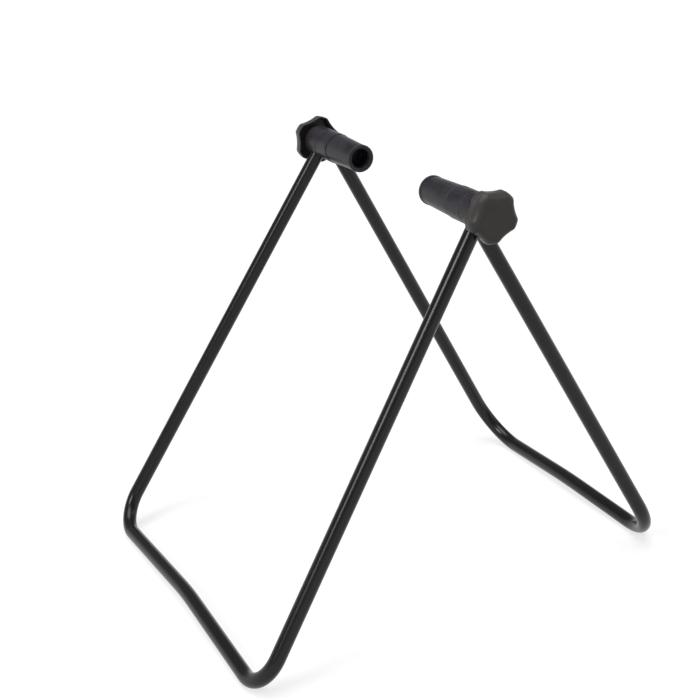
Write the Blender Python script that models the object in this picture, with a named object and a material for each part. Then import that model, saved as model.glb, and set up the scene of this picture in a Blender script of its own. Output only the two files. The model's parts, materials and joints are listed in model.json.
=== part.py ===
"""Folding bike wheel stand: two bent tube frames that pivot on a knob bolt at each side of the axle.

Units are metres and +Z is up. The axle runs along Y, the outer frame's feet are toward -X and the
inner frame's feet toward +X. Lengths along the axle are measured outward from the middle of the
stand and called "out"; side is +1 on the left (+Y) and -1 on the right (-Y).
"""
import bpy
import bmesh
from math import acos, atan2, cos, hypot, pi, radians, sin, sqrt, tan
from mathutils import Matrix, Vector

# Clearance between neighbouring pieces
GAP = 0.0003

# Stance of the open stand
AXLE_HEIGHT = 0.350
OUTER_REACH = 0.236
INNER_REACH = 0.168
OUTER_FOOT_HALF = 0.177
INNER_FOOT_HALF = 0.145

# Tube, its bends and the shallow V that lifts the middle of each foot bar
TUBE_RADIUS = 0.0065
TUBE_WALL = 0.0012
TUBE_END_PAST_BOLT = 0.0042
OUTER_CORNER_BEND = 0.030
INNER_CORNER_BEND = 0.042
KINK_BEND = 0.450
KINK_RISE = 0.0068

# Bolt, nuts and washers
BOLT_RADIUS = 0.004
BOLT_TIP_CHAMFER = 0.0008
HEX_ACROSS_FLATS = 0.013
BOLT_HEAD_THICK = 0.0053
NUT_THICK = 0.0065
NUT_CHAMFER = 0.0006
WASHER_RADIUS = 0.008
WASHER_THICK = 0.0012
PIVOT_WASHER_RADIUS = 0.0084
PIVOT_WASHER_THICK = 0.0012

# Hub cup
HUB_SPACE = 0.132
CUP_TRAVEL = 0.0125
SOCKET_RADIUS = 0.009
SOCKET_DEPTH = 0.017
SOCKET_CHAMFER = 0.0008
CUP_RIM_WALL = 0.0032
CUP_LIP_STAND = 0.0004
CUP_LIP_LENGTH = 0.0032
CUP_WEB = 0.002
CUP_BACK_STEP = 0.0005
CUP_EDGE = 0.0010

# Knuckles
KNUCKLE_RADIUS = 0.014
KNUCKLE_EDGE = 0.0008
TUBE_SOCKET_WALL = 0.0044

# Opening stop: a lug on the outer knuckle rides in an arc groove in the inner knuckle
STOP_WALL = 0.0008
STOP_DEPTH = 0.0018
STOP_HALF_ANGLE = radians(12)
STOP_CENTRE = radians(90)
STOP_ROOT = 0.0006

# Star knob
KNOB_RADIUS = 0.022
KNOB_FLUTE_SAG = 0.0010
KNOB_WALL = 0.0026
KNOB_SKIRT = 0.0052
KNOB_SHOULDER_RISE = 0.0083
KNOB_SHOULDER_INSET = 0.0064
KNOB_TOP_THICK = 0.0055
KNOB_SEAT_WALL = 0.0021
KNOB_BOSS_WALL = 0.0027
KNOB_RIM_EDGE = 0.0006
KNOB_LOBES = 5
KNOB_TIP_HALF_ANGLE = radians(12)
KNOB_PHASE = {1: radians(70), -1: radians(47)}

# Facets round each kind of ring; hexagons need a multiple of six, the knob a multiple of its lobes
RING_STEPS = 36
SMALL_RING_STEPS = 24
KNOB_STEPS = 12 * KNOB_LOBES
TUBE_SIDES = 12
BEND_STEP = radians(10)
ARC_STEP = radians(7)
EDGE_TURNS = (0, pi / 4, pi / 2)
SHOULDER_TURNS = (0, pi / 8, pi / 4, 3 * pi / 8, pi / 2)
SMOOTH_BELOW = radians(35)

SIDE_NAMES = {1: "left", -1: "right"}

# Radii that follow from the fits
BORE_RADIUS = BOLT_RADIUS + GAP
TUBE_SOCKET_RADIUS = TUBE_RADIUS + GAP
TUBE_END_ABOVE_AXLE = BORE_RADIUS + TUBE_END_PAST_BOLT
HEX_CORNER_RADIUS = HEX_ACROSS_FLATS / sqrt(3)
HEX_SEAT = HEX_ACROSS_FLATS + 2 * GAP
RECESS_RADIUS = max(WASHER_RADIUS, HEX_CORNER_RADIUS) + 2 * GAP
CUP_RIM_RADIUS = SOCKET_RADIUS + CUP_RIM_WALL
CUP_LIP_RADIUS = CUP_RIM_RADIUS + CUP_LIP_STAND
CUP_BACK_RADIUS = KNUCKLE_RADIUS - CUP_BACK_STEP
PIVOT_SEAT_RADIUS = PIVOT_WASHER_RADIUS + GAP
STOP_INNER_RADIUS = PIVOT_SEAT_RADIUS + STOP_WALL + GAP
STOP_OUTER_RADIUS = KNUCKLE_RADIUS - KNUCKLE_EDGE - STOP_WALL
KNOB_BOSS_RADIUS = HEX_CORNER_RADIUS + GAP + KNOB_BOSS_WALL
KNOB_HALF_PITCH = pi / KNOB_LOBES
KNOB_HALF_FLUTE = KNOB_HALF_PITCH - KNOB_TIP_HALF_ANGLE
KNOB_FLUTE_RADIUS = KNOB_RADIUS * cos(KNOB_HALF_FLUTE) - KNOB_FLUTE_SAG

# Places along the axle, outward from the middle of the stand
CUP_RIM = HUB_SPACE / 2
SOCKET_FLOOR = CUP_RIM + SOCKET_DEPTH
BORE_FLOOR = SOCKET_FLOOR + CUP_WEB
BOLT_TIP = BORE_FLOOR + GAP
CUP_NUT_IN = BOLT_TIP + CUP_TRAVEL
CUP_NUT_OUT = CUP_NUT_IN + NUT_THICK
LOCK_NUT_IN = CUP_NUT_OUT + GAP
LOCK_NUT_OUT = LOCK_NUT_IN + NUT_THICK
END_WASHER_IN = LOCK_NUT_OUT + GAP
END_WASHER_OUT = END_WASHER_IN + WASHER_THICK
CUP_BACK = END_WASHER_OUT
KNUCKLE_LENGTH = 2 * (TUBE_SOCKET_RADIUS + TUBE_SOCKET_WALL)
INNER_KNUCKLE_IN = CUP_BACK + GAP
INNER_KNUCKLE_OUT = INNER_KNUCKLE_IN + KNUCKLE_LENGTH
OUTER_KNUCKLE_IN = INNER_KNUCKLE_OUT + GAP
OUTER_KNUCKLE_OUT = OUTER_KNUCKLE_IN + KNUCKLE_LENGTH
PIVOT_WASHER_OUT = OUTER_KNUCKLE_IN - GAP
PIVOT_WASHER_IN = PIVOT_WASHER_OUT - PIVOT_WASHER_THICK
KNOB_WASHER_IN = OUTER_KNUCKLE_OUT + GAP
KNOB_WASHER_OUT = KNOB_WASHER_IN + WASHER_THICK
KNOB_RIM_IN = OUTER_KNUCKLE_OUT + GAP
KNOB_BOSS_IN = KNOB_WASHER_OUT + GAP
BOLT_HEAD_IN = KNOB_BOSS_IN + KNOB_SEAT_WALL + GAP
BOLT_HEAD_OUT = BOLT_HEAD_IN + BOLT_HEAD_THICK
KNOB_FACE = KNOB_RIM_IN + KNOB_SKIRT + KNOB_SHOULDER_RISE
KNOB_HOLLOW_FLOOR = KNOB_FACE - KNOB_TOP_THICK
INNER_LEG_TOP = (INNER_KNUCKLE_IN + INNER_KNUCKLE_OUT) / 2
OUTER_LEG_TOP = (OUTER_KNUCKLE_IN + OUTER_KNUCKLE_OUT) / 2

# Lean of each frame from the vertical, and the fold that brings both into one plane
FOOT_DROP = AXLE_HEIGHT - TUBE_RADIUS
OUTER_LEAN = atan2(OUTER_REACH, FOOT_DROP)
INNER_LEAN = atan2(INNER_REACH, FOOT_DROP)
FOLD_ANGLE = OUTER_LEAN + INNER_LEAN
AXLE = Vector(((OUTER_REACH - INNER_REACH) / 2, 0, AXLE_HEIGHT))


def clear_scene():
    for thing in list(bpy.data.objects):
        bpy.data.objects.remove(thing, do_unlink=True)


def make_material(name, colour, roughness, metallic=0.0):
    material = bpy.data.materials.new(name)
    material.use_nodes = True
    shader = material.node_tree.nodes["Principled BSDF"]
    shader.inputs["Base Color"].default_value = (*colour, 1)
    shader.inputs["Roughness"].default_value = roughness
    shader.inputs["Metallic"].default_value = metallic
    return material


def add_object(name, mesh, material=None):
    """Link a mesh whose coordinates are measured from the axle's middle."""
    thing = bpy.data.objects.new(name, mesh)
    bpy.context.scene.collection.objects.link(thing)
    thing.location = AXLE
    if material:
        mesh.materials.append(material)
        mesh.shade_smooth()
        mesh.set_sharp_from_angle(angle=SMOOTH_BELOW)
    return thing


def add_cutter(name, mesh):
    cutter = add_object(name, mesh)
    cutter.hide_render = True
    cutter.display_type = "WIRE"
    return cutter


def add_boolean(thing, operation, other):
    modifier = thing.modifiers.new(other.name, "BOOLEAN")
    modifier.operation = operation
    modifier.solver = "EXACT"
    modifier.object = other


def mesh_from(name, bm):
    bmesh.ops.recalc_face_normals(bm, faces=bm.faces)
    mesh = bpy.data.meshes.new(name)
    bm.to_mesh(mesh)
    bm.free()
    return mesh


def circle(radius):
    return lambda angle: radius


def hexagon(across_flats):
    """Radius of a hexagon at an angle measured from the middle of a flat."""
    def radius_at(angle):
        from_flat = (angle + pi / 6) % (pi / 3) - pi / 6
        return across_flats / 2 / cos(from_flat)
    return radius_at


def star(inset=0):
    """Knob outline, moved in by inset: round lobe tips, and hollow flutes that are one arc each.

    A flute's arc passes through its two lobe corners and its own deepest point, so its centre lies
    outside the knob on the flute's middle line, where both points are the same distance away.
    """
    tip = KNOB_RADIUS - inset
    deepest = KNOB_FLUTE_RADIUS - inset
    arc_centre = (tip ** 2 - deepest ** 2) / (2 * (tip * cos(KNOB_HALF_FLUTE) - deepest))
    arc_radius = arc_centre - deepest

    def radius_at(angle):
        from_tip = abs((angle + KNOB_HALF_PITCH) % (2 * KNOB_HALF_PITCH) - KNOB_HALF_PITCH)
        from_flute = KNOB_HALF_PITCH - from_tip
        if from_flute >= KNOB_HALF_FLUTE:
            return tip
        return arc_centre * cos(from_flute) - sqrt(arc_radius ** 2 - (arc_centre * sin(from_flute)) ** 2)
    return radius_at


def rounded_edge(face, inward, edge, section_at, rise=None, turns=EDGE_TURNS):
    """Sections of an outer edge rounded over a quarter circle, from the flat face to the side.

    section_at gives the outline moved in by a distance; inward is the way along "out" into the piece.
    With a rise other than the edge, the quarter is of an ellipse that takes up that length of side.
    """
    if rise is None:
        rise = edge
    return [(face + inward * rise * (1 - cos(turn)), section_at(edge * (1 - sin(turn)))) for turn in turns]


def loft_mesh(name, sections, side, closed, steps=RING_STEPS, phase=0.0):
    """Skin (out, section) pairs in order; a closed loft returns to its first section."""
    bm = bmesh.new()
    loops = []
    for out, section in sections:
        angles = [2 * pi * step / steps for step in range(steps)]
        loops.append([bm.verts.new((section(a) * cos(a + phase), side * out, section(a) * sin(a + phase)))
                      for a in angles])
    pairs = list(zip(loops, loops[1:]))
    if closed:
        pairs.append((loops[-1], loops[0]))
    else:
        bm.faces.new(loops[0])
        bm.faces.new(loops[-1])
    for here, there in pairs:
        for i in range(steps):
            j = (i + 1) % steps
            bm.faces.new((here[i], here[j], there[j], there[i]))
    return mesh_from(name, bm)


def sector_mesh(name, radii, outs, angles, side):
    """A bar of rectangular section bent round the axle between two angles."""
    corners = ((radii[0], outs[0]), (radii[1], outs[0]), (radii[1], outs[1]), (radii[0], outs[1]))
    steps = max(2, round((angles[1] - angles[0]) / ARC_STEP))
    bm = bmesh.new()
    loops = []
    for step in range(steps + 1):
        a = angles[0] + (angles[1] - angles[0]) * step / steps
        loops.append([bm.verts.new((r * cos(a), side * out, r * sin(a))) for r, out in corners])
    for here, there in zip(loops, loops[1:]):
        for i in range(4):
            j = (i + 1) % 4
            bm.faces.new((here[i], here[j], there[j], there[i]))
    bm.faces.new(loops[0])
    bm.faces.new(loops[-1])
    return mesh_from(name, bm)


def rounded_route(corners, bends):
    """Replace each inner corner of a 2-D route by an arc of its bend radius."""
    route = [Vector(corners[0])]
    for before, corner, after, bend in zip(corners, corners[1:], corners[2:], bends):
        corner = Vector(corner)
        back = (Vector(before) - corner).normalized()
        ahead = (Vector(after) - corner).normalized()
        half = acos(back.dot(ahead)) / 2
        centre = corner + (back + ahead).normalized() * bend / sin(half)
        start = corner + back * bend / tan(half) - centre
        turn = pi - 2 * half
        if back.x * ahead.y - back.y * ahead.x > 0:
            turn = -turn
        steps = max(2, round(abs(turn) / BEND_STEP))
        for step in range(steps + 1):
            a = turn * step / steps
            route.append(centre + Vector((start.x * cos(a) - start.y * sin(a),
                                          start.x * sin(a) + start.y * cos(a))))
    route.append(Vector(corners[-1]))
    return route


def frame_route(leg_top, foot_half, leg_length, corner_bend):
    """The tube's centre line in the frame's own plane: (along the axle, away from the axle).

    The rounded corners are lowered until the lowest point of the line is leg_length from the axle.
    """
    def route_to(corner_drop):
        end_out = leg_top - (foot_half - leg_top) * TUBE_END_ABOVE_AXLE / corner_drop
        corners = ((end_out, -TUBE_END_ABOVE_AXLE), (foot_half, corner_drop), (0, corner_drop - KINK_RISE),
                   (-foot_half, corner_drop), (-end_out, -TUBE_END_ABOVE_AXLE))
        return rounded_route(corners, (corner_bend, KINK_BEND, corner_bend))
    lowest = max(point.y for point in route_to(leg_length))
    return route_to(2 * leg_length - lowest)


def leg_splay(leg_top, foot_half, reach):
    """Angle by which a leg runs outward on its way down, in the frame's own plane."""
    return atan2(foot_half - leg_top, hypot(reach, FOOT_DROP))


def make_frame_tube(name, leg_top, foot_half, reach, lean, corner_bend, material):
    """Bent round tube, hollow and open at both ends, with the bolt's cross holes near its ends.

    The tilt of its points turns a ridge of the faceted tube straight down, so the feet rest on it.
    """
    route = frame_route(leg_top, foot_half, hypot(reach, FOOT_DROP), corner_bend)
    curve = bpy.data.curves.new(name, "CURVE")
    curve.dimensions = "3D"
    curve.bevel_depth = TUBE_RADIUS
    curve.bevel_resolution = (TUBE_SIDES - 4) // 2
    spline = curve.splines.new("POLY")
    spline.points.add(len(route) - 1)
    for point, place in zip(spline.points, route):
        point.co = (0, place.x, -place.y, 1)
        point.tilt = lean
    guide = bpy.data.objects.new(name + "_route", curve)
    bpy.context.scene.collection.objects.link(guide)
    bpy.context.view_layer.update()
    mesh = bpy.data.meshes.new_from_object(guide.evaluated_get(bpy.context.evaluated_depsgraph_get()))
    bpy.data.objects.remove(guide)
    mesh.name = name
    mesh.transform(Matrix.Rotation(lean, 4, "Y"))
    tube = add_object(name, mesh, material)
    wall = tube.modifiers.new("wall", "SOLIDIFY")
    wall.thickness = TUBE_WALL
    wall.offset = -1
    wall.use_even_offset = True
    past_tube = leg_top + KNUCKLE_LENGTH
    holes = loft_mesh(name + "_bolt_holes", ((-past_tube, circle(BORE_RADIUS)), (past_tube, circle(BORE_RADIUS))),
                      1, False, SMALL_RING_STEPS)
    add_boolean(tube, "DIFFERENCE", add_cutter(holes.name, holes))
    return tube


def make_knuckle(name, side, ends, leg_top, lean, splay, material):
    """A plastic barrel section bored for the bolt, with a blind socket for the tube's end."""
    inner, outer = ends

    def side_at(inset):
        return circle(KNUCKLE_RADIUS - inset)
    sections = [(inner, circle(BORE_RADIUS)),
                *rounded_edge(inner, 1, KNUCKLE_EDGE, side_at),
                *reversed(rounded_edge(outer, -1, KNUCKLE_EDGE, side_at)),
                (outer, circle(BORE_RADIUS))]
    knuckle = add_object(name, loft_mesh(name, sections, side, True), material)

    socket_top = TUBE_END_ABOVE_AXLE + GAP
    socket_depth = 2 * KNUCKLE_RADIUS + socket_top
    socket = bmesh.new()
    bmesh.ops.create_cone(socket, cap_ends=True, segments=SMALL_RING_STEPS, radius1=TUBE_SOCKET_RADIUS,
                          radius2=TUBE_SOCKET_RADIUS, depth=socket_depth)
    along_leg = (Matrix.Rotation(lean, 4, "Y") @ Matrix.Translation((0, side * leg_top, 0))
                 @ Matrix.Rotation(side * splay, 4, "X")
                 @ Matrix.Translation((0, 0, socket_top - socket_depth / 2)))
    bmesh.ops.transform(socket, matrix=along_leg, verts=socket.verts)
    cutter_name = name + "_tube_socket"
    add_boolean(knuckle, "DIFFERENCE", add_cutter(cutter_name, mesh_from(cutter_name, socket)))
    return knuckle


def add_stop_groove(knuckle, side):
    """Arc groove for the lug, and a seat for the pivot washer, in the inner knuckle's outboard face."""
    slack = GAP / STOP_INNER_RADIUS
    above_face = INNER_KNUCKLE_OUT + STOP_ROOT
    span = (STOP_CENTRE - STOP_HALF_ANGLE - slack, STOP_CENTRE + STOP_HALF_ANGLE + slack + FOLD_ANGLE)
    groove = sector_mesh(knuckle.name + "_stop_groove", (STOP_INNER_RADIUS - GAP, STOP_OUTER_RADIUS + GAP),
                         (INNER_KNUCKLE_OUT - STOP_DEPTH - GAP, above_face), span, side)
    add_boolean(knuckle, "DIFFERENCE", add_cutter(groove.name, groove))
    seat = loft_mesh(knuckle.name + "_washer_seat", (
        (PIVOT_WASHER_IN - GAP, circle(PIVOT_SEAT_RADIUS)), (above_face, circle(PIVOT_SEAT_RADIUS))), side, False)
    add_boolean(knuckle, "DIFFERENCE", add_cutter(seat.name, seat))


def add_stop_lug(knuckle, side):
    """Lug on the outer knuckle's inboard face; it meets one end of the groove when the stand is open."""
    lug = sector_mesh(knuckle.name + "_stop_lug", (STOP_INNER_RADIUS, STOP_OUTER_RADIUS),
                      (INNER_KNUCKLE_OUT - STOP_DEPTH, OUTER_KNUCKLE_IN + STOP_ROOT),
                      (STOP_CENTRE - STOP_HALF_ANGLE, STOP_CENTRE + STOP_HALF_ANGLE), side)
    add_boolean(knuckle, "UNION", add_cutter(lug.name, lug))


def make_washer(name, side, inner, outer, radius, material):
    return add_object(name, loft_mesh(name, (
        (inner, circle(BORE_RADIUS)), (inner, circle(radius)),
        (outer, circle(radius)), (outer, circle(BORE_RADIUS))), side, True, SMALL_RING_STEPS), material)


def make_nut(name, side, inner, outer, material):
    """Hex nut whose corners are turned down halfway to the flats on both faces."""
    flats = hexagon(HEX_ACROSS_FLATS)
    turned = (HEX_CORNER_RADIUS + HEX_ACROSS_FLATS / 2) / 2

    def turned_down(angle):
        return min(flats(angle), turned)
    return add_object(name, loft_mesh(name, (
        (inner, circle(BORE_RADIUS)), (inner, turned_down), (inner + NUT_CHAMFER, flats),
        (outer - NUT_CHAMFER, flats), (outer, turned_down), (outer, circle(BORE_RADIUS))),
        side, True, SMALL_RING_STEPS), material)


def make_bolt(name, side, material):
    """Hex bolt: head inside the knob, shank through both tubes to the hub cup's blind bore."""
    head = hexagon(HEX_ACROSS_FLATS)
    return add_object(name, loft_mesh(name, (
        (BOLT_TIP, circle(BOLT_RADIUS - BOLT_TIP_CHAMFER)),
        (BOLT_TIP + BOLT_TIP_CHAMFER, circle(BOLT_RADIUS)),
        (BOLT_HEAD_IN, circle(BOLT_RADIUS)),
        (BOLT_HEAD_IN, head),
        (BOLT_HEAD_OUT, head)), side, False, SMALL_RING_STEPS, KNOB_PHASE[side]), material)


def make_hub_cup(name, side, material):
    """Tapered sleeve: axle-nut socket inboard; nut pocket and lock-nut recess in the back."""
    pocket = hexagon(HEX_SEAT)
    lip_end = CUP_RIM + CUP_LIP_LENGTH
    return add_object(name, loft_mesh(name, (
        (SOCKET_FLOOR, circle(SOCKET_RADIUS)),
        (CUP_RIM + SOCKET_CHAMFER, circle(SOCKET_RADIUS)),
        (CUP_RIM, circle(SOCKET_RADIUS + SOCKET_CHAMFER)),
        *rounded_edge(CUP_RIM, 1, CUP_EDGE, lambda inset: circle(CUP_LIP_RADIUS - inset)),
        (lip_end, circle(CUP_LIP_RADIUS)),
        (lip_end + CUP_LIP_STAND, circle(CUP_RIM_RADIUS)),
        *reversed(rounded_edge(CUP_BACK, -1, CUP_EDGE, lambda inset: circle(CUP_BACK_RADIUS - inset))),
        (CUP_BACK, circle(RECESS_RADIUS)),
        (CUP_NUT_OUT, circle(RECESS_RADIUS)),
        (CUP_NUT_OUT, pocket),
        (CUP_NUT_IN - GAP, pocket),
        (CUP_NUT_IN - GAP, circle(BORE_RADIUS)),
        (BORE_FLOOR, circle(BORE_RADIUS))), side, False), material)


def make_star_knob(name, side, material):
    """Five-lobed shell: flat face with a deep round shoulder, hollow back, and a boss for the bolt's head."""
    head_seat = hexagon(HEX_SEAT)
    return add_object(name, loft_mesh(name, (
        *rounded_edge(KNOB_FACE, -1, KNOB_SHOULDER_INSET, star, KNOB_SHOULDER_RISE, SHOULDER_TURNS),
        (KNOB_RIM_IN + KNOB_RIM_EDGE, star()),
        (KNOB_RIM_IN, star(KNOB_RIM_EDGE)),
        (KNOB_RIM_IN, star(KNOB_WALL)),
        (KNOB_HOLLOW_FLOOR, star(KNOB_WALL)),
        (KNOB_HOLLOW_FLOOR, circle(KNOB_BOSS_RADIUS)),
        (KNOB_BOSS_IN, circle(KNOB_BOSS_RADIUS)),
        (KNOB_BOSS_IN, circle(BORE_RADIUS)),
        (BOLT_HEAD_IN - GAP, circle(BORE_RADIUS)),
        (BOLT_HEAD_IN - GAP, head_seat),
        (BOLT_HEAD_OUT + GAP, head_seat)), side, False, KNOB_STEPS, KNOB_PHASE[side]), material)


def build_side(side, barrel_plastic, knob_plastic, zinc_steel, white_nylon):
    """Everything on one end of the axle, from the hub cup outward to the star knob."""
    end = SIDE_NAMES[side]
    make_hub_cup("hub_cup_" + end, side, barrel_plastic)
    make_nut("cup_nut_" + end, side, CUP_NUT_IN, CUP_NUT_OUT, zinc_steel)
    make_nut("lock_nut_" + end, side, LOCK_NUT_IN, LOCK_NUT_OUT, zinc_steel)
    make_washer("end_washer_" + end, side, END_WASHER_IN, END_WASHER_OUT, WASHER_RADIUS, zinc_steel)
    inner = make_knuckle("inner_knuckle_" + end, side, (INNER_KNUCKLE_IN, INNER_KNUCKLE_OUT), INNER_LEG_TOP,
                         -INNER_LEAN, leg_splay(INNER_LEG_TOP, INNER_FOOT_HALF, INNER_REACH), barrel_plastic)
    add_stop_groove(inner, side)
    make_washer("pivot_washer_" + end, side, PIVOT_WASHER_IN, PIVOT_WASHER_OUT, PIVOT_WASHER_RADIUS,
                white_nylon)
    outer = make_knuckle("outer_knuckle_" + end, side, (OUTER_KNUCKLE_IN, OUTER_KNUCKLE_OUT), OUTER_LEG_TOP,
                         OUTER_LEAN, leg_splay(OUTER_LEG_TOP, OUTER_FOOT_HALF, OUTER_REACH), barrel_plastic)
    add_stop_lug(outer, side)
    make_washer("knob_washer_" + end, side, KNOB_WASHER_IN, KNOB_WASHER_OUT, WASHER_RADIUS, zinc_steel)
    make_star_knob("star_knob_" + end, side, knob_plastic)
    make_bolt("knob_bolt_" + end, side, zinc_steel)


def build_stand():
    tube_black = make_material("tube_black", (0.012, 0.012, 0.013), 0.30)
    barrel_plastic = make_material("barrel_plastic", (0.020, 0.020, 0.026), 0.42)
    knob_plastic = make_material("knob_plastic", (0.022, 0.021, 0.021), 0.55)
    zinc_steel = make_material("zinc_steel", (0.62, 0.62, 0.60), 0.35, 1.0)
    white_nylon = make_material("white_nylon", (0.75, 0.74, 0.70), 0.50)
    make_frame_tube("outer_tube", OUTER_LEG_TOP, OUTER_FOOT_HALF, OUTER_REACH, OUTER_LEAN,
                    OUTER_CORNER_BEND, tube_black)
    make_frame_tube("inner_tube", INNER_LEG_TOP, INNER_FOOT_HALF, INNER_REACH, -INNER_LEAN,
                    INNER_CORNER_BEND, tube_black)
    for side in SIDE_NAMES:
        build_side(side, barrel_plastic, knob_plastic, zinc_steel, white_nylon)
    bpy.context.view_layer.update()


clear_scene()
build_stand()
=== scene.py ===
import bmesh
import bpy
import json
import numpy as np
from math import atan2, cos, hypot, pi, radians, sin
from mathutils import Matrix, Vector


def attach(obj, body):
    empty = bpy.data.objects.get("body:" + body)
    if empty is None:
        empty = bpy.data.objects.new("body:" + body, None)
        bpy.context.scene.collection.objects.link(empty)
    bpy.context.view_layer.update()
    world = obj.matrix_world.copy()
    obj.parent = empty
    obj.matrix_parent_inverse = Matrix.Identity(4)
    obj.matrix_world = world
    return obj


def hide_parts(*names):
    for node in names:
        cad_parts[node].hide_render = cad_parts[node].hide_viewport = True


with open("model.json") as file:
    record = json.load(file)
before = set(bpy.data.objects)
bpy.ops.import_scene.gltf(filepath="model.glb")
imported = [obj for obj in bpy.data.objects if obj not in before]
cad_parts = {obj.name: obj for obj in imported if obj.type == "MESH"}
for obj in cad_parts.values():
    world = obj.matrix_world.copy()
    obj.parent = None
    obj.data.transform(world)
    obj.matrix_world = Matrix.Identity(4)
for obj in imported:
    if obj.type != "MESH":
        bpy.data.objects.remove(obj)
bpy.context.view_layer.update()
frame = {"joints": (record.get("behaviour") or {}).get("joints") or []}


# Bent tube frames
# Two lengths of thin round steel tube, each bent into a wide hoop with a shallow V in its foot bar.
# They lean apart from the axle, and their cross-drilled ends sit inside the barrels. A satin black
# enamel is sprayed on after bending, and is scuffed a little where the bends stand on the floor.
axle = np.array([joint["pos_m"] for joint in frame["joints"] if joint["name"] == "fold"][0])
tube_radius = 0.0065
tube_wall = 0.0012
tube_end_above_axle = 0.0085
tube_burr = 0.0002
kink_bend = 0.450
kink_rise = 0.0068
bend_flattening = 0.02
bolt_bore = 0.0043
drill_overrun = 0.02
rubbed_heights = (0.0002, 0.0022)
straight_rows = 40
bend_rows = 48
tube_columns = 56
rod_columns = 72
same_place = 1e-7
hairline = 0.00002
foot_drop = axle[2] - tube_radius
hoops = {
    "outer": {"leg_top": 0.1468, "foot_half": 0.17689, "reach": 0.236, "bend": 0.030, "leans": 1},
    "inner": {"leg_top": 0.1241, "foot_half": 0.145, "reach": 0.168, "bend": 0.042, "leans": -1},
}


def unit(vector):
    """The vector divided by its own length."""
    return vector / np.linalg.norm(vector)


def hoop_line(leg_top, foot_half, leg_length, bend):
    """Centre line of a hoop in its own plane: places and headings as (along the axle, away from it).

    Straight runs join five corners. At an inner corner with unit directions b back and a ahead, and
    half the angle between them h, the bend of radius r starts r / tan h along b, has its centre
    r / sin h along a + b, and turns through pi - 2h. The third result is 1 in a bend's middle and 0
    on a straight. The corners are lowered until the lowest place is leg_length from the axle.
    """
    def line_to(corner_drop):
        end_out = leg_top - (foot_half - leg_top) * tube_end_above_axle / corner_drop
        corners = np.array([(end_out, -tube_end_above_axle), (foot_half, corner_drop),
                            (0, corner_drop - kink_rise), (-foot_half, corner_drop),
                            (-end_out, -tube_end_above_axle)])
        places, headings, bent = [], [], []

        def go_straight(start, end, last):
            share = np.linspace(0, 1, straight_rows, endpoint=last)[:, None]
            places.append(start + (end - start) * share)
            headings.append(np.tile(unit(end - start), (straight_rows, 1)))
            bent.append(np.zeros(straight_rows))
        here = corners[0]
        for before, corner, after, r in zip(corners, corners[1:], corners[2:], (bend, kink_bend, bend)):
            back, ahead = unit(before - corner), unit(after - corner)
            half = np.arccos(back @ ahead) / 2
            centre = corner + unit(back + ahead) * r / np.sin(half)
            start = corner + back * r / np.tan(half)
            go_straight(here, start, False)
            turn = np.linspace(0, pi - 2 * half, bend_rows, endpoint=False)[:, None]
            places.append(centre + (start - centre) * np.cos(turn) - back * r * np.sin(turn))
            headings.append(-back * np.cos(turn) - unit(start - centre) * np.sin(turn))
            bent.append(np.sin(pi * turn[:, 0] / (pi - 2 * half)) ** 2 * (r < kink_bend))
            here = corner + ahead * r / np.tan(half)
        go_straight(here, corners[-1], True)
        return np.concatenate(places), np.concatenate(headings), np.concatenate(bent)
    lowest = line_to(leg_length)[0][:, 1].max()
    return line_to(2 * leg_length - lowest)


def from_hoop_plane(lean, out, drop):
    """A place in the stand's frame from one in a leaning hoop's plane: out along the axle, drop off it."""
    return axle + np.stack((-sin(lean) * drop, out, -cos(lean) * drop), -1)


def skin(name, grid, closed_rows):
    """Mesh over a grid of points: every row is a closed ring, and quads join it to the next row.

    closed_rows joins the last row to the first, as on a piece with a bore right through it. A ring
    that has shrunk to one point is merged into a pole.
    """
    rows, columns = grid.shape[:2]
    index = np.arange(rows * columns).reshape(rows, columns)
    here = index if closed_rows else index[:-1]
    there = np.roll(index, -1, 0) if closed_rows else index[1:]
    quads = np.stack((here, np.roll(here, -1, 1), np.roll(there, -1, 1), there), -1).reshape(-1, 4)
    mesh = bpy.data.meshes.new(name)
    mesh.from_pydata(grid.reshape(-1, 3).tolist(), [], quads.tolist())
    bm = bmesh.new()
    bm.from_mesh(mesh)
    bmesh.ops.remove_doubles(bm, verts=bm.verts, dist=same_place)
    bmesh.ops.recalc_face_normals(bm, faces=bm.faces)
    bm.to_mesh(mesh)
    bm.free()
    piece = bpy.data.objects.new(name, mesh)
    bpy.context.scene.collection.objects.link(piece)
    return piece


def rod(name, start, end, radius):
    """Closed round bar between two places: rings c + r (cos u, sin u) across its own direction.

    Each end is closed by a pole.
    """
    along = unit(end - start)
    # Any direction that no rod here runs along serves to find one across it.
    across = unit(np.cross(along, (1.0, 0.3, 0.2)))
    third = np.cross(along, across)
    u = np.linspace(0, 2 * pi, rod_columns, endpoint=False)[:, None]
    ring = np.cos(u) * across + np.sin(u) * third
    rings = [c + r * ring for c, r in ((start, 0), (start, radius), (end, radius), (end, 0))]
    return skin(name, np.stack(rings), False)


def work(piece, operation, tool):
    """Cut a tool out of a piece, or join it on, and keep the result as the piece's own mesh.

    Where the cut leaves a hairline crack, the two corners at its open end are welded.
    """
    step = piece.modifiers.new(tool.name, "BOOLEAN")
    step.operation = operation
    step.solver = "EXACT"
    step.object = tool
    bpy.context.view_layer.update()
    depsgraph = bpy.context.evaluated_depsgraph_get()
    worked = bpy.data.meshes.new_from_object(piece.evaluated_get(depsgraph), depsgraph=depsgraph)
    piece.modifiers.remove(step)
    bm = bmesh.new()
    bm.from_mesh(worked)
    cracked = {corner for edge in bm.edges if edge.is_boundary for corner in edge.verts}
    bmesh.ops.remove_doubles(bm, verts=list(cracked), dist=hairline)
    bm.to_mesh(worked)
    bm.free()
    piece.data = worked
    bpy.data.objects.remove(tool)


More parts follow.
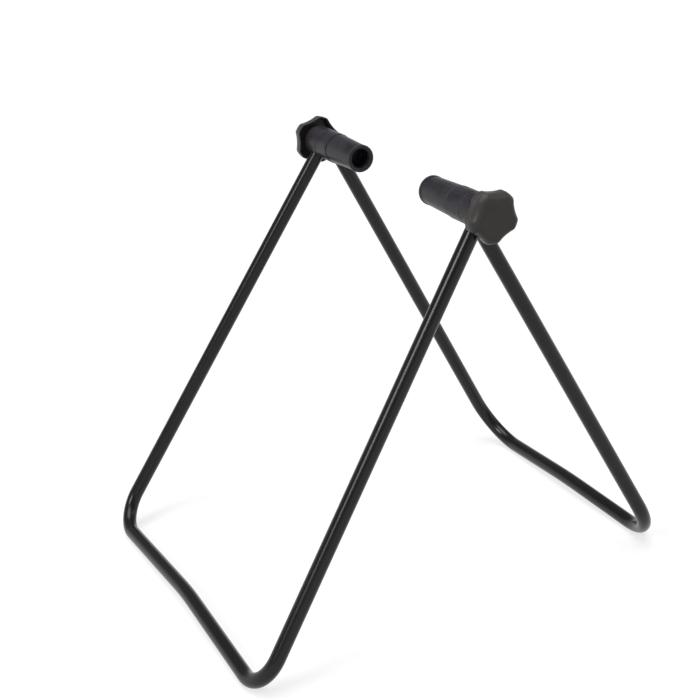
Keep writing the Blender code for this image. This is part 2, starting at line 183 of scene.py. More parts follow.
def corners_of(piece):
    """The piece's vertices as an array."""
    places = np.empty(len(piece.data.vertices) * 3)
    piece.data.vertices.foreach_get("co", places)
    return places.reshape(-1, 3)


def mark(piece, layer, values):
    """Store one number per vertex for a finish to read."""
    piece.data.attributes.new(layer, "FLOAT", "POINT").data.foreach_set("value", values.astype(np.float32))


def fit(piece, body, node, finish, crease=32):
    """Give a finished piece its material and the body that it rides on, and hide the imported part of the
    node that it stands for.

    Edges that turn by more than crease degrees stay sharp in the shading.
    """
    piece.data.name = piece.name
    piece.data.materials.clear()
    piece.data.materials.append(finish.material)
    piece.data.shade_smooth()
    piece.data.set_sharp_from_angle(angle=radians(crease))
    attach(piece, body)
    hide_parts(node)


def smooth_step(values, low, high):
    """s * s * (3 - 2 s), where s is how far each value is from low to high, held between 0 and 1."""
    share = np.clip((values - low) / (high - low), 0, 1)
    return share * share * (3 - 2 * share)


class Wire:
    """An output of a shader node. Arithmetic on it adds a Math node and gives that node's output."""

    def __init__(self, finish, socket):
        self.finish = finish
        self.socket = socket

    def math(self, operation, first, second):
        """Add a Math node on two wires or numbers, and return its output."""
        return self.finish.node("ShaderNodeMath", {"operation": operation}, {0: first, 1: second})

    def __add__(self, other):
        return self.math("ADD", self, other)

    def __radd__(self, other):
        return self.math("ADD", other, self)

    def __sub__(self, other):
        return self.math("SUBTRACT", self, other)

    def __rsub__(self, other):
        return self.math("SUBTRACT", other, self)

    def __mul__(self, other):
        return self.math("MULTIPLY", self, other)

    def __rmul__(self, other):
        return self.math("MULTIPLY", other, self)


class Finish:
    """A node material on a Principled shader, with patterns laid out in metres on the piece itself."""

    def __init__(self, name, constants):
        self.material = bpy.data.materials.new(name)
        self.material.use_nodes = True
        self.tree = self.material.node_tree
        self.shader = self.tree.nodes["Principled BSDF"]
        self.place = self.node("ShaderNodeTexCoord", {}, {}, "Object")
        self.show(constants)

    def node(self, kind, settings, sockets, output=0):
        """Add a node, set it up, give its sockets their values or links, and return one of its outputs."""
        made = self.tree.nodes.new(kind)
        for setting, value in settings.items():
            setattr(made, setting, value)
        for socket, value in sockets.items():
            self.feed(made.inputs[socket], value)
        return Wire(self, made.outputs[output])

    def feed(self, socket, value):
        """Link a wire to the socket, or set a plain value on it."""
        if isinstance(value, Wire):
            self.tree.links.new(value.socket, socket)
        else:
            socket.default_value = value

    def show(self, sockets):
        """Give the shader's own sockets their values or links."""
        for socket, value in sockets.items():
            self.feed(self.shader.inputs[socket], value)

    def grain(self, size, detail=2.0, turbulence=0.5, stretch=None):
        """Noise from 0 to 1 in lumps about size metres across, longer along axes whose stretch is below 1."""
        place = self.place
        if stretch:
            place = self.node("ShaderNodeMapping", {}, {"Vector": place, "Scale": stretch})
        return self.node("ShaderNodeTexNoise", {}, {"Vector": place, "Scale": 0.5 / size, "Detail": detail,
                                                    "Roughness": turbulence})

    def rise(self, value, low, high):
        """0 below low, 1 above high, and a smooth step between."""
        return self.node("ShaderNodeMapRange", {"interpolation_type": "SMOOTHSTEP"},
                         {"Value": value, "From Min": low, "From Max": high})

    def marked(self, layer):
        """The numbers that mark() stored on the piece."""
        return self.node("ShaderNodeAttribute", {"attribute_name": layer}, {}, "Fac")

    def mix(self, share, colour, other):
        """From one colour to another; either may be a plain (r, g, b)."""
        # The node's colours are its inputs 6 and 7 and its output 2.
        both = {0: share, 6: colour, 7: other}
        return self.node("ShaderNodeMix", {"data_type": "RGBA"},
                         {k: (*v, 1.0) if isinstance(v, tuple) else v for k, v in both.items()}, 2)

    def relief(self, height, depth, under=None):
        """Bump whose height of 1 stands depth metres proud."""
        sockets = {"Height": height, "Distance": depth}
        if under:
            sockets["Normal"] = under
        return self.node("ShaderNodeBump", {}, sockets)


def enamelled_tube():
    """Satin black enamel: slow change of sheen, orange peel, a few dust nibs, and scuffs at the feet."""
    thick_coat, thin_coat = (0.0065, 0.0061, 0.0072), (0.0115, 0.0107, 0.0108)
    scratched, scuffed = (0.040, 0.039, 0.038), (0.075, 0.073, 0.070)
    enamel = Finish("satin_black_enamel", {"IOR": 1.5, "Specular IOR Level": 0.29})
    cloud = enamel.grain(0.030, 3)
    peel = enamel.grain(0.0013, 1)
    nib = enamel.rise(enamel.grain(0.0005, 0), 0.74, 0.80)
    scratch = enamel.rise(enamel.grain(0.00025, 2, 0.6, (1, 1, 0.04)), 0.66, 0.74)
    scratch = scratch * enamel.rise(cloud, 0.50, 0.62)
    scuff = enamel.rise(enamel.marked("floor_rub") + enamel.grain(0.0009, 4, 0.7) * 0.8, 0.95, 1.25)
    coat = enamel.mix(cloud, thick_coat, thin_coat)
    coat = enamel.mix(scratch * 0.5, coat, scratched)
    enamel.show({
        "Base Color": enamel.mix(scuff * 0.8, coat, scuffed),
        "Roughness": 0.19 + cloud * 0.08 + scratch * 0.10 + scuff * 0.25,
        "Normal": enamel.relief(peel + nib * 0.8 - scratch * 0.1 - scuff * 0.3, 0.000009),
    })
    return enamel


enamel = enamelled_tube()
for which, hoop in hoops.items():
    hoop["lean"] = hoop["leans"] * atan2(hoop["reach"], foot_drop)
    line, heading, bent = hoop_line(hoop["leg_top"], hoop["foot_half"], hypot(hoop["reach"], foot_drop),
                                    hoop["bend"])
    hoop["leg_heading"] = heading[0]
    start, end = line[0], line[-1]
    line = np.concatenate(([start, start + tube_burr * heading[0]], line[1:-1],
                           [end - tube_burr * heading[-1], end]))
    heading = np.concatenate((heading[:1], heading, heading[-1:]))
    bent = np.concatenate((bent[:1], bent, bent[-1:]))
    outside = np.full(len(line), tube_radius)
    inside = np.full(len(line), tube_radius - tube_wall)
    outside[[0, -1]] -= tube_burr
    inside[[0, -1]] += tube_burr
    # Rows run down the outside of the tube and back up its bore.
    line = np.concatenate((line, line[::-1]))
    heading = np.concatenate((heading, heading[::-1]))
    radius = np.concatenate((outside, inside))[:, None]
    flat = 1 - bend_flattening * np.concatenate((bent, bent[::-1]))[:, None]
    u = np.linspace(0, 2 * pi, tube_columns, endpoint=False)
    out = line[:, :1] - heading[:, 1:] * radius * flat * np.cos(u)
    drop = line[:, 1:] + heading[:, :1] * radius * flat * np.cos(u)
    off_plane = np.array([cos(hoop["lean"]), 0, -sin(hoop["lean"])])
    grid = from_hoop_plane(hoop["lean"], out, drop) + (radius * np.sin(u))[..., None] * off_plane
    tube = skin("bent_tube_" + which, grid, True)
    drill_reach = np.array([0, hoop["leg_top"] + drill_overrun, 0])
    work(tube, "DIFFERENCE", rod("bolt_drill", axle - drill_reach, axle + drill_reach, bolt_bore))
    mark(tube, "floor_rub", 1 - smooth_step(corners_of(tube)[:, 2], *rubbed_heights))
    fit(tube, which + "_frame", which + "_tube", enamel)


# Pivot barrels
# Each side's pivot is two short barrels of moulded black nylon on one bolt. A tube end is pressed up
# into each from below. A lug on the outer barrel runs in an arc groove in the inner one's face, so
# the stand stops opening at its stance. The mould leaves a fine parting line front and back.
sides = {"left": 1, "right": -1}
barrel_radius = 0.014
barrel_edge = 0.0008
barrel_ends = {"inner": (0.1129, 0.1353), "outer": (0.1356, 0.1580)}
barrel_columns = 144
face_rings = (0.0066, 0.0090, 0.0112)
wall_margin = 0.0014
socket_radius = 0.0068
socket_reach = 0.040
clearance = 0.0003
tool_overrun = 0.0006
seam_height = 0.00005
seam_half_width = radians(0.45)
seam_angles = np.array([0.0, pi])
seam_offsets = np.radians([-1.0, -0.7, -0.45, -0.2, 0.0, 0.2, 0.45, 0.7, 1.0])
stop_radii = (0.0098, 0.0124)
stop_depth = 0.0018
stop_arc = (radians(78), radians(102))
arc_rows = 40
washer_seat_floor = 0.1338
washer_seat_radius = 0.0087
fold_angle = hoops["outer"]["lean"] - hoops["inner"]["lean"]
even_angles = (np.arange(barrel_columns) + 0.5) * 2 * pi / barrel_columns
near_seams = (seam_angles[:, None] + seam_offsets).ravel() % (2 * pi)
barrel_angles = np.sort(np.concatenate((even_angles, near_seams)))
from_seam = np.abs((barrel_angles[:, None] - seam_angles + pi / 2) % pi - pi / 2).min(1)
seam = seam_height * np.exp(-(from_seam / seam_half_width) ** 2)


def around_axle(name, side, rows, angles, closed_rows):
    """Surface round the axle in rows (out, r): how far out along the axle, and the radius there.

    The point at angle a is axle + (r cos a, side * out, r sin a). A row's radius is one number, or one
    for each angle.
    """
    out = np.array([row[0] for row in rows])[:, None] * np.ones(len(angles))
    radius = np.array([np.broadcast_to(row[1], angles.shape) for row in rows])
    grid = axle + np.stack((radius * np.cos(angles), side * out, radius * np.sin(angles)), -1)
    return skin(name, grid, closed_rows)


def rounded(face, inward, edge, outline, steps=6, rise=None):
    """Rows of an outer edge turned over a quarter ellipse, from the flat face round to the side.

    At turn t the row stands rise (1 - cos t) in from the face, and its outline is moved in by
    edge (1 - sin t). The rise is the edge unless given; inward is the way into the piece along "out".
    """
    rise = rise or edge
    return [(face + inward * rise * (1 - cos(t)), outline(edge * (1 - sin(t))))
            for t in np.linspace(0, pi / 2, steps)]


def arc_bar(name, side, radii, outs, angles):
    """Bar of square section bent round the axle: four corners at each angle, and a pole closing each end."""
    a = np.linspace(*angles, arc_rows)[:, None]
    r = np.array([radii[0], radii[1], radii[1], radii[0]])
    out = np.array([outs[0], outs[0], outs[1], outs[1]])
    rings = axle + np.stack((r * np.cos(a), side * out + 0 * a, r * np.sin(a)), -1)
    ends = [np.tile(ring.mean(0), (1, 4, 1)) for ring in (rings[0], rings[-1])]
    return skin(name, np.concatenate((ends[0], rings, ends[1])), False)


def edge_rub(piece, ends, radius, reach=0.0009):
    """How much handling has polished each place: 1 on a barrel's outer edges, 0 at reach from its ends."""
    places = corners_of(piece)
    out = np.abs(places[:, 1])
    off_axle = np.hypot(places[:, 0] - axle[0], places[:, 2] - axle[2])
    near = np.minimum(np.abs(out - ends[0]), np.abs(out - ends[1]))
    at_ends = 1 - smooth_step(near, 0.3 * reach, reach)
    mark(piece, "edge_rub", at_ends * smooth_step(off_axle, 0.9 * radius, radius))


def moulded_nylon():
    """Bluish black nylon: spark-eroded grain, faint flow bands along the barrel, and polished edges."""
    deep, pale, polished = (0.0140, 0.0128, 0.0170), (0.0320, 0.0297, 0.0370), (0.070, 0.068, 0.077)
    nylon = Finish("moulded_black_nylon", {"IOR": 1.52, "Specular IOR Level": 0.15})
    cloud = nylon.grain(0.009, 3, 0.55)
    flow = nylon.grain(0.0022, 3, 0.6, (1, 0.12, 1))
    grain = nylon.grain(0.00028, 2, 0.6)
    rub = nylon.marked("edge_rub") * nylon.rise(cloud, 0.30, 0.60)
    mottle = nylon.rise(cloud * 0.6 + flow * 0.4, 0.32, 0.68)
    body = nylon.mix(mottle, deep, pale)
    nylon.show({
        "Base Color": nylon.mix(rub * 0.5, body, polished),
        "Roughness": 0.26 + cloud * 0.12 + grain * 0.08 - rub * 0.12,
        "Normal": nylon.relief(grain, 0.000016, nylon.relief(flow, 0.00004)),
    })
    return nylon


nylon = moulded_nylon()
for which, (near_end, far_end) in barrel_ends.items():
    hoop = hoops[which]
    for end_name, side in sides.items():
        def barrel_outline(inset):
            return barrel_radius - inset + seam * (1 - inset / barrel_edge)
        wall_run = np.linspace(near_end + wall_margin, far_end - wall_margin, 14)
        barrel = around_axle("pivot_barrel_%s_%s" % (which, end_name), side, [
            *[(out, bolt_bore) for out in np.linspace(far_end, near_end, 10)],
            *[(near_end, r) for r in face_rings],
            *rounded(near_end, 1, barrel_edge, barrel_outline),
            *[(out, barrel_outline(0)) for out in wall_run],
            *reversed(rounded(far_end, -1, barrel_edge, barrel_outline)),
            *[(far_end, r) for r in reversed(face_rings)]], barrel_angles, True)
        out, drop = side * hoop["leg_heading"][0], hoop["leg_heading"][1]
        leg_top = side * hoop["leg_top"]
        socket_ends = [from_hoop_plane(hoop["lean"], leg_top + out * down, drop * down)
                       for down in (-tube_end_above_axle - clearance, socket_reach)]
        work(barrel, "DIFFERENCE", rod("tube_socket", *socket_ends, socket_radius))
        if which == "inner":
            slack = clearance / stop_radii[0]
            seat_ends = [axle + (0, side * out, 0) for out in (washer_seat_floor, far_end + tool_overrun)]
            work(barrel, "DIFFERENCE", rod("washer_seat", *seat_ends, washer_seat_radius))
            work(barrel, "DIFFERENCE", arc_bar(
                "stop_groove", side, (stop_radii[0] - clearance, stop_radii[1] + clearance),
                (far_end - stop_depth - clearance, far_end + tool_overrun),
                (stop_arc[0] - slack, stop_arc[1] + slack + fold_angle)))
        else:
            lug_reach = (near_end - clearance - stop_depth, near_end + tool_overrun)
            work(barrel, "UNION", arc_bar("stop_lug", side, stop_radii, lug_reach, stop_arc))
        edge_rub(barrel, (near_end, far_end), barrel_radius)
        fit(barrel, which + "_frame", "%s_knuckle_%s" % (which, end_name), nylon)


# Hub cups
# The inboard end of each barrel is a separate sleeve in the same nylon that the knob's screw drives
# along the axle. Its rim, with a thin bead round it, closes on the wheel's axle nut. A hex pocket in
# its back holds the nut it travels on, and a round recess leaves room for the lock nut.
hub_space = 0.132
cup_rim = hub_space / 2
cup_back = 0.1126
cup_edge = 0.0010
axle_nut_radius = 0.009
socket_floor = 0.083
socket_floor_rings = (0.004, 0.007, 0.0085)
socket_corner = 0.0005
socket_margins = (0.002, 0.0008)
lead_in = ((0.0002, 0.0006), (0.0, 0.0010))
bore_floor = 0.085
bead_radius = 0.0126
bead_length = 0.0032
bead_fillet = 0.0004
sleeve_radii = (0.0122, 0.0135)
sleeve_margins = (0.0009, 0.0016)
cup_back_ring = 0.0105
cup_nut_place = (0.0978, 0.1043)
pocket_flats = 0.0136
recess_radius = 0.0086
recess_edge = 0.0004
cup_rub_reach = 0.0014
quarter_turn = np.linspace(0, pi / 2, 5)


def hexagon(across_flats, angles, phase=0.0):
    """Radius of a hexagon: half its size across flats over the cosine of the angle from a flat's middle."""
    from_flat = (angles - phase + pi / 6) % (pi / 3) - pi / 6
    return across_flats / 2 / np.cos(from_flat)


for end_name, side in sides.items():
    shoulder = cup_rim + bead_length
    sleeve_run = np.linspace(shoulder + sleeve_margins[0], cup_back - sleeve_margins[1], 16)
    socket_run = np.linspace(socket_floor - socket_margins[0], cup_rim + socket_margins[1], 8)
    slope = (sleeve_radii[1] - sleeve_radii[0]) / (cup_back - cup_edge - shoulder)
    sleeve = [(out, sleeve_radii[0] + slope * (out - shoulder) + seam) for out in sleeve_run]
    cup = around_axle("hub_cup_sleeve_" + end_name, side, [
        (socket_floor, 0),
        *[(socket_floor, r) for r in socket_floor_rings],
        *[(socket_floor - socket_corner * (1 - cos(t)), axle_nut_radius - socket_corner * (1 - sin(t)))
          for t in quarter_turn],
        *[(out, axle_nut_radius) for out in socket_run],
        *[(cup_rim + depth, axle_nut_radius + flare) for depth, flare in lead_in],
        *rounded(cup_rim, 1, cup_edge, lambda inset: bead_radius - inset, 8),
        (shoulder - bead_fillet, bead_radius),
        *[(shoulder + bead_fillet * sin(t), sleeve_radii[0] + bead_fillet * cos(t)) for t in quarter_turn],
        *sleeve,
        *reversed(rounded(cup_back, -1, cup_edge, lambda inset: sleeve_radii[1] - inset)),
        (cup_back, cup_back_ring),
        (cup_back, recess_radius + recess_edge),
        (cup_back - recess_edge, recess_radius),
        (cup_nut_place[1], recess_radius),
        (cup_nut_place[1], hexagon(pocket_flats, barrel_angles)),
        (cup_nut_place[0] - clearance, hexagon(pocket_flats, barrel_angles)),
        (cup_nut_place[0] - clearance, bolt_bore),
        (bore_floor, bolt_bore),
        (bore_floor, 0)], barrel_angles, False)
    edge_rub(cup, (cup_rim, cup_back), sleeve_radii[0], cup_rub_reach)
    fit(cup, "cup_" + end_name, "hub_cup_" + end_name, nylon)


# Pivot bolts, nuts and washers
# An M8 hex bolt moulded into each knob is the pivot of both tubes and the screw of the hub cup. A
# lock nut holds the two barrels together on it, and the cup nut turns its turning into travel. Steel
# parts are zinc plated; the washer between the two barrels is natural nylon.
pitch = 0.00125
thread_crest = 0.00398
thread_root = 0.00326
shank_radius = 0.0040
thread_fit = 0.00006
across_flats = 0.013
chamfer_slope = np.tan(radians(30))
bolt_tip = 0.0853
bolt_tip_rings = (0.0, 0.0015, 0.0030)
thread_end = 0.1190
thread_fade = (0.0025, 0.0002)
shank_margin = 0.0004
row_step = 0.0001
bolt_head = (0.1622, 0.1675)
head_fillet = 0.0003
head_underside_ring = 0.0060
head_top_rings = (0.0050, 0.0025, 0.0)
head_chamfer = 0.0002
nut_chamfer = 0.0001
countersink_radius = 0.0043
lock_nut_place = (0.1046, 0.1111)
end_washer_place = (0.1114, 0.1126)
pivot_washer_place = (0.1341, 0.1353)
knob_washer_place = (0.1583, 0.1595)
steel_washer_radius = 0.0080
pivot_washer_radius = 0.0084
washer_ring = 0.0062
washer_roll = 0.0003
washer_burr = 0.00008
hex_crease = 24
washer_crease = 40
knob_turned = {"left": radians(70), "right": radians(47)}
steel_angles = np.linspace(0, 2 * pi, 72, endpoint=False)


def thread(side, out, angles):
    """Radius of a right-hand 60 degree thread at a place along the bolt and an angle round it.

    The share of a turn past the helix is y / pitch + a / 2 pi; folded about a half it runs from 0 in
    the root to 1 on the crest, and is cut off flat below 0.25 and above 0.875.
    """
    turn = (side * out / pitch + angles / (2 * pi)) % 1
    height = np.clip((np.abs(2 * turn - 1) - 0.25) / 0.625, 0, 1)
    return thread_root + (thread_crest - thread_root) * height


def zinc_plate():
    """Zinc plating with a faint straw and blue passivation, turned lines, and a fine crystalline grain."""
    blue, straw = (0.560, 0.575, 0.600), (0.680, 0.660, 0.585)
    zinc = Finish("zinc_plated_steel", {"Metallic": 1.0})
    cloud = zinc.grain(0.0035, 3, 0.6)
    turned = zinc.grain(0.00012, 2, 0.5, (0.15, 1, 0.15))
    grain = zinc.grain(0.00009, 1)
    zinc.show({
        "Base Color": zinc.mix(cloud, blue, straw),
        "Roughness": 0.24 + cloud * 0.12 + turned * 0.10,
        "Normal": zinc.relief(grain * 0.5 + turned, 0.000006),
    })
    return zinc


def natural_nylon():
    """Milky nylon washer: slight cloudiness, and the fine drag marks of the barrels that turn on it."""
    creamy, white = (0.70, 0.69, 0.64), (0.79, 0.78, 0.74)
    milky = Finish("natural_nylon", {"IOR": 1.53})
    cloud = milky.grain(0.004, 2)
    drag = milky.grain(0.0003, 2, 0.5, (0.2, 1, 0.2))
    milky.show({
        "Base Color": milky.mix(cloud, creamy, white),
        "Roughness": 0.42 + drag * 0.16,
        "Normal": milky.relief(drag, 0.00001),
    })
    return milky


zinc = zinc_plate()
milky = natural_nylon()


def make_bolt(end_name, side):
    """Bolt rows from tip to head: 45 degree tip, thread fading into the shank, and a chamfered hex head."""
    angles = steel_angles
    rows = [(bolt_tip, r) for r in bolt_tip_rings]
    for out in np.arange(bolt_tip + row_step, thread_end, pitch / 12):
        fade = smooth_step(np.array(out), thread_end - thread_fade[0], thread_end - thread_fade[1])
        cut = thread(side, out, angles) * (1 - fade) + shank_radius * fade
        rows.append((out, np.minimum(cut, bolt_tip_rings[-1] + out - bolt_tip)))
    flats = hexagon(across_flats, angles, knob_turned[end_name])
    rows += [(out, shank_radius) for out in np.linspace(thread_end, bolt_head[0] - shank_margin, 12)]
    rows += [(bolt_head[0], shank_radius + head_fillet), (bolt_head[0], head_underside_ring)]
    for out in np.linspace(bolt_head[0] + row_step, bolt_head[1], 24):
        from_top = bolt_head[1] - out
        crown = across_flats / 2 - head_chamfer + from_top / chamfer_slope
        rows.append((out, np.minimum(flats, crown)))
    rows += [(bolt_head[1], r) for r in head_top_rings]
    bolt = around_axle("pivot_bolt_" + end_name, side, rows, angles, False)
    fit(bolt, "knob_" + end_name, "knob_bolt_" + end_name, zinc, hex_crease)


def make_nut(name, side, place, body, node):
    """Nut rows: threaded bore with a countersink at each face, then flats under a 30 degree chamfer cone."""
    angles = steel_angles
    flats = hexagon(across_flats, angles)
    rows = []
    for out in np.linspace(place[1], place[0], 64):
        from_face = min(out - place[0], place[1] - out)
        rows.append((out, np.maximum(thread(side, out, angles) + thread_fit, countersink_radius - from_face)))
    for out in np.linspace(place[0], place[1], 30):
        from_face = min(out - place[0], place[1] - out)
        rows.append((out, np.minimum(flats, across_flats / 2 - nut_chamfer + from_face / chamfer_slope)))
    fit(around_axle(name, side, rows, angles, True), body, node, zinc, hex_crease)


def make_washer(name, side, place, radius, body, node, finish):
    """Stamped washer: flat faces, with the outer edge rolled over on one face and crisp on the other."""
    rows = [(place[1], bolt_bore), (place[0], bolt_bore), (place[0], washer_ring),
            *rounded(place[0], 1, washer_roll, lambda inset: radius - inset, 5),
            (place[1] - washer_burr, radius), (place[1], radius - washer_burr), (place[1], washer_ring)]
    fit(around_axle(name, side, rows, steel_angles, True), body, node, finish, washer_crease)


for end_name, side in sides.items():
    make_bolt(end_name, side)
    make_nut("travel_nut_" + end_name, side, cup_nut_place, "cup_" + end_name, "cup_nut_" + end_name)
    make_nut("jam_nut_" + end_name, side, lock_nut_place, "knob_" + end_name, "lock_nut_" + end_name)
    make_washer("jam_washer_" + end_name, side, end_washer_place, steel_washer_radius, "inner_frame",
                "end_washer_" + end_name, zinc)
    make_washer("face_washer_" + end_name, side, pivot_washer_place, pivot_washer_radius, "outer_frame",
                "pivot_washer_" + end_name, milky)
    make_washer("boss_washer_" + end_name, side, knob_washer_place, steel_washer_radius, "outer_frame",
                "knob_washer_" + end_name, zinc)


# Star knobs
# Five-lobed hand knobs, moulded as a shell over the bolt's head: a nearly flat face with a deep round
# shoulder, a short side wall with five hollow flutes, a hollow back whose wall thins to a lip, and a
# boss round the bolt. The plastic is a warm charcoal with a fine matt grain, polished where it is gripped.
knob_radius = 0.022
flute_depth_radius = 0.019098
lobes = 5
tip_half_angle = radians(12)
knob_wall = 0.0026
knob_lip = 0.0013
lip_edge = 0.0003
knob_skirt = 0.0052
skirt_margins = (0.0006, 0.0012)
knob_shoulder = (0.0064, 0.0080)
knob_crown = 0.0003
knob_rim_edge = 0.0006
knob_rim = 0.1583
knob_boss = (0.1598, 0.010506)
boss_fillet = 0.0006
boss_edge = 0.0004
boss_ring = 0.0075
boss_margins = (0.0012, 0.001)
knob_hollow_floor = 0.1663
hollow_corner = 0.0008
knob_face = 0.1718
grip_middle = 0.0015
grip_reach = (0.0010, 0.0040)
rim_reach = (0.0002, 0.0012)
gripped_radii = (0.0185, 0.0212)
knob_angles = np.linspace(0, 2 * pi, 360, endpoint=False)


def star(inset, phase):
    """Knob outline moved in by inset: round lobe tips joined by hollow flutes, one arc each.

    The flute's arc has its centre outside the knob on the flute's middle line, at the distance where
    the lobe's corner and the deepest point are equally far from it. The radius is then averaged over
    the seven angles up to three degrees to either side, which rounds the lobes' corners.
    """
    tip, deepest = knob_radius - inset, flute_depth_radius - inset
    half_pitch = pi / lobes
    half_flute = half_pitch - tip_half_angle
    arc_centre = (tip ** 2 - deepest ** 2) / (2 * (tip * cos(half_flute) - deepest))
    arc_radius = arc_centre - deepest
    from_tip = np.abs((knob_angles + half_pitch) % (2 * half_pitch) - half_pitch)
    from_flute = half_pitch - from_tip
    inside = np.maximum(arc_radius ** 2 - (arc_centre * np.sin(from_flute)) ** 2, 0)
    flute = arc_centre * np.cos(from_flute) - np.sqrt(inside)
    outline = np.where(from_flute >= half_flute, tip, flute)
    outline = np.mean([np.roll(outline, shift) for shift in range(-3, 4)], 0)
    return np.roll(outline, round(np.degrees(phase)))


def matt_charcoal():
    """Warm charcoal plastic: matt moulded grain, cloudy colour, lobes worn smoother and a little paler."""
    deep, pale, polished = (0.0400, 0.0362, 0.0335), (0.0630, 0.0588, 0.0560), (0.120, 0.114, 0.108)
    charcoal = Finish("matt_charcoal_plastic", {"IOR": 1.5, "Specular IOR Level": 0.17})
    cloud = charcoal.grain(0.007, 3, 0.6)
    grain = charcoal.grain(0.00035, 3, 0.65)
    rub = charcoal.marked("edge_rub") * charcoal.rise(charcoal.grain(0.0015, 3), 0.30, 0.65)
    body = charcoal.mix(cloud, deep, pale)
    charcoal.show({
        "Base Color": charcoal.mix(rub * 0.3, body, polished),
        "Roughness": 0.30 + cloud * 0.08 + grain * 0.08 - rub * 0.14,
        "Normal": charcoal.relief(grain, 0.00003),
    })
    return charcoal


charcoal = matt_charcoal()
for end_name, side in sides.items():
    phase = knob_turned[end_name]

    def lobed(inset):
        return star(inset, phase)
    inset, rise = knob_shoulder
    skirt_top = knob_rim + knob_skirt
    head_seat = hexagon(pocket_flats, knob_angles, phase)
    skirt_run = np.linspace(skirt_top - skirt_margins[0], knob_rim + skirt_margins[1], 6)
    wall_run = zip(np.linspace(knob_rim + lip_edge, knob_hollow_floor - hollow_corner, 8),
                   np.linspace(knob_lip, knob_wall, 8))
    boss_run = np.linspace(knob_hollow_floor - boss_margins[0], knob_boss[0] + boss_margins[1], 5)
    knob = around_axle("star_hand_knob_" + end_name, side, [
        *[(knob_face - knob_crown * share ** 2, share * lobed(inset)) for share in np.linspace(0, 1, 16)],
        *rounded(knob_face - knob_crown, -1, inset, lobed, 26, rise)[1:],
        *[(out, lobed(0)) for out in skirt_run],
        *reversed(rounded(knob_rim, 1, knob_rim_edge, lobed, 5)),
        (knob_rim, lobed(knob_lip - lip_edge)),
        *[(out, lobed(wall)) for out, wall in wall_run],
        *[(knob_hollow_floor - hollow_corner * (1 - sin(t)), lobed(knob_wall + hollow_corner * (1 - cos(t))))
          for t in quarter_turn[1:]],
        *[(knob_hollow_floor - boss_fillet * (1 - cos(t)), knob_boss[1] + boss_fillet * (1 - sin(t)))
          for t in quarter_turn],
        *[(out, knob_boss[1]) for out in boss_run],
        (knob_boss[0] + boss_edge, knob_boss[1]),
        (knob_boss[0], knob_boss[1] - boss_edge),
        (knob_boss[0], boss_ring),
        (knob_boss[0], bolt_bore),
        (bolt_head[0] - clearance, bolt_bore),
        (bolt_head[0] - clearance, head_seat),
        (bolt_head[1] + clearance, head_seat),
        (bolt_head[1] + clearance, 0)], knob_angles, False)
    places = corners_of(knob)
    off_axle = np.hypot(places[:, 0] - axle[0], places[:, 2] - axle[2])
    out = np.abs(places[:, 1])
    at_edges = np.maximum(1 - smooth_step(np.abs(out - skirt_top - grip_middle), *grip_reach),
                          1 - smooth_step(out - knob_rim, *rim_reach))
    mark(knob, "edge_rub", at_edges * smooth_step(off_axle, *gripped_radii))
    fit(knob, "knob_" + end_name, "star_knob_" + end_name, charcoal)


# Studio
# A plain white floor and walls that stay white to the camera and in reflections, under a dim ceiling,
# with the stand's own soft shadow on the floor. Soft lamps stand overhead and to both sides.
def sees_stage(tree):
    """1 for camera, glossy and transmission rays, 0 for the rays that carry light between surfaces."""
    path = tree.nodes.new("ShaderNodeLightPath")
    total = path.outputs["Is Camera Ray"]
    for ray in ("Is Glossy Ray", "Is Transmission Ray"):
        add = tree.nodes.new("ShaderNodeMath")
        add.operation = "MAXIMUM"
        tree.links.new(total, add.inputs[0])
        tree.links.new(path.outputs[ray], add.inputs[1])
        total = add.outputs[0]
    return total


half_floor = 9.0
floor_grey = 0.34
floor_glow = 0.68
room_light = 0.27
walls_and_ceiling = {"From Min": 0.08, "From Max": 0.32, "To Min": 1.0, "To Max": 0.25}
floor_mesh = bpy.data.meshes.new("studio_floor")
floor_corners = [(x * half_floor, y * half_floor, 0) for x, y in ((-1, -1), (1, -1), (1, 1), (-1, 1))]
floor_mesh.from_pydata(floor_corners, [], [(0, 1, 2, 3)])
floor = bpy.data.objects.new("studio_floor", floor_mesh)
bpy.context.scene.collection.objects.link(floor)
paper = bpy.data.materials.new("white_paper_floor")
paper.use_nodes = True
tree = paper.node_tree
shader = tree.nodes["Principled BSDF"]
shader.inputs["Base Color"].default_value = (floor_grey, floor_grey, floor_grey, 1)
shader.inputs["Roughness"].default_value = 0.9
shader.inputs["Specular IOR Level"].default_value = 0.0
shader.inputs["Emission Color"].default_value = (1, 1, 1, 1)
lift = tree.nodes.new("ShaderNodeMath")
lift.operation = "MULTIPLY"
lift.inputs[1].default_value = floor_glow
tree.links.new(sees_stage(tree), lift.inputs[0])
tree.links.new(lift.outputs[0], shader.inputs["Emission Strength"])
floor_mesh.materials.append(paper)

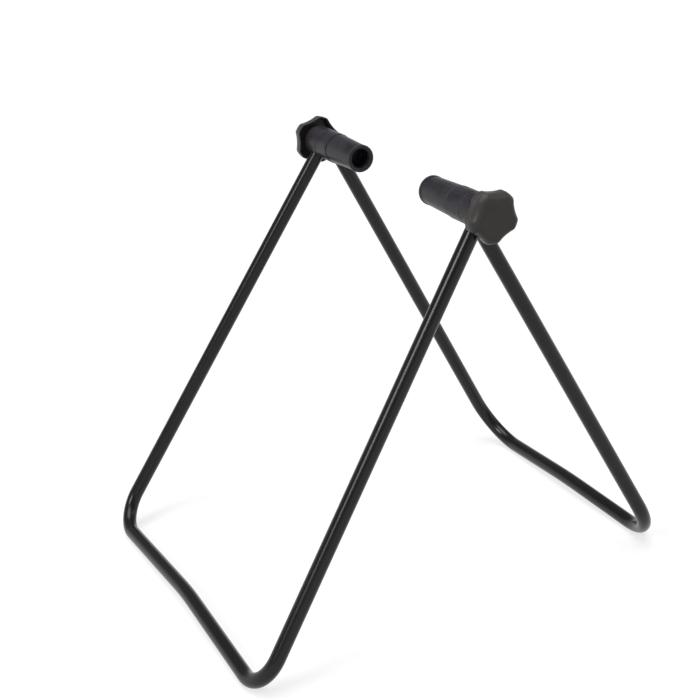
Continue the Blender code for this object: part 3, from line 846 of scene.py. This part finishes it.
surround = bpy.data.worlds.new("studio_surround")
surround.use_nodes = True
bpy.context.scene.world = surround
tree = surround.node_tree
background = tree.nodes["Background"]
background.inputs["Color"].default_value = (1, 1, 1, 1)
direction = tree.nodes.new("ShaderNodeTexCoord")
height = tree.nodes.new("ShaderNodeSeparateXYZ")
tree.links.new(direction.outputs["Generated"], height.inputs["Vector"])
wall_to_ceiling = tree.nodes.new("ShaderNodeMapRange")
wall_to_ceiling.interpolation_type = "SMOOTHSTEP"
for socket, value in walls_and_ceiling.items():
    wall_to_ceiling.inputs[socket].default_value = value
tree.links.new(height.outputs["Z"], wall_to_ceiling.inputs["Value"])
strength = tree.nodes.new("ShaderNodeMapRange")
strength.inputs["To Min"].default_value = room_light
tree.links.new(wall_to_ceiling.outputs[0], strength.inputs["To Max"])
tree.links.new(sees_stage(tree), strength.inputs["Value"])
tree.links.new(strength.outputs[0], background.inputs["Strength"])


def soft_lamp(name, strength, spread, towards):
    """Soft lamp so far off that it lights the whole floor evenly; towards is where its light goes."""
    lamp = bpy.data.lights.new(name, "SUN")
    lamp.energy = strength
    lamp.angle = radians(spread)
    holder = bpy.data.objects.new(name, lamp)
    holder.rotation_euler = Vector(towards).to_track_quat("-Z", "Y").to_euler()
    bpy.context.scene.collection.objects.link(holder)


soft_lamp("overhead_softbox", 1.90, 46, (0.10, 0.10, -1.0))
soft_lamp("right_softbox", 0.25, 30, (-0.85, 0.35, -0.55))
soft_lamp("left_softbox", 1.30, 22, (0.95, 0.28, -0.75))


# Camera
# The photograph's own viewpoint: a long lens from the stand's right and a little above the axle.
bpy.context.scene.view_settings.view_transform = "Standard"
viewpoint = (-0.53697, -1.15056, 0.69673)
turned, tipped, rolled = -0.4209, -0.3757, 0.0818
focal_pixels = 1532.05
photo_width = 700
sensor_width = 36.0
aim = Matrix.Rotation(turned, 3, "Z") @ Matrix.Rotation(tipped, 3, "X") @ Matrix.Rotation(rolled, 3, "Y")
right, ahead, up = aim.col
view = Matrix((right, up, -ahead)).transposed().to_4x4()
view.translation = viewpoint
lens = bpy.data.cameras.new("photo_view")
lens.sensor_width = sensor_width
lens.lens = sensor_width * focal_pixels / photo_width
lens.clip_start = 0.05
lens.clip_end = 100
camera = bpy.data.objects.new("photo_view", lens)
bpy.context.scene.collection.objects.link(camera)
camera.matrix_world = view
bpy.context.scene.camera = camera
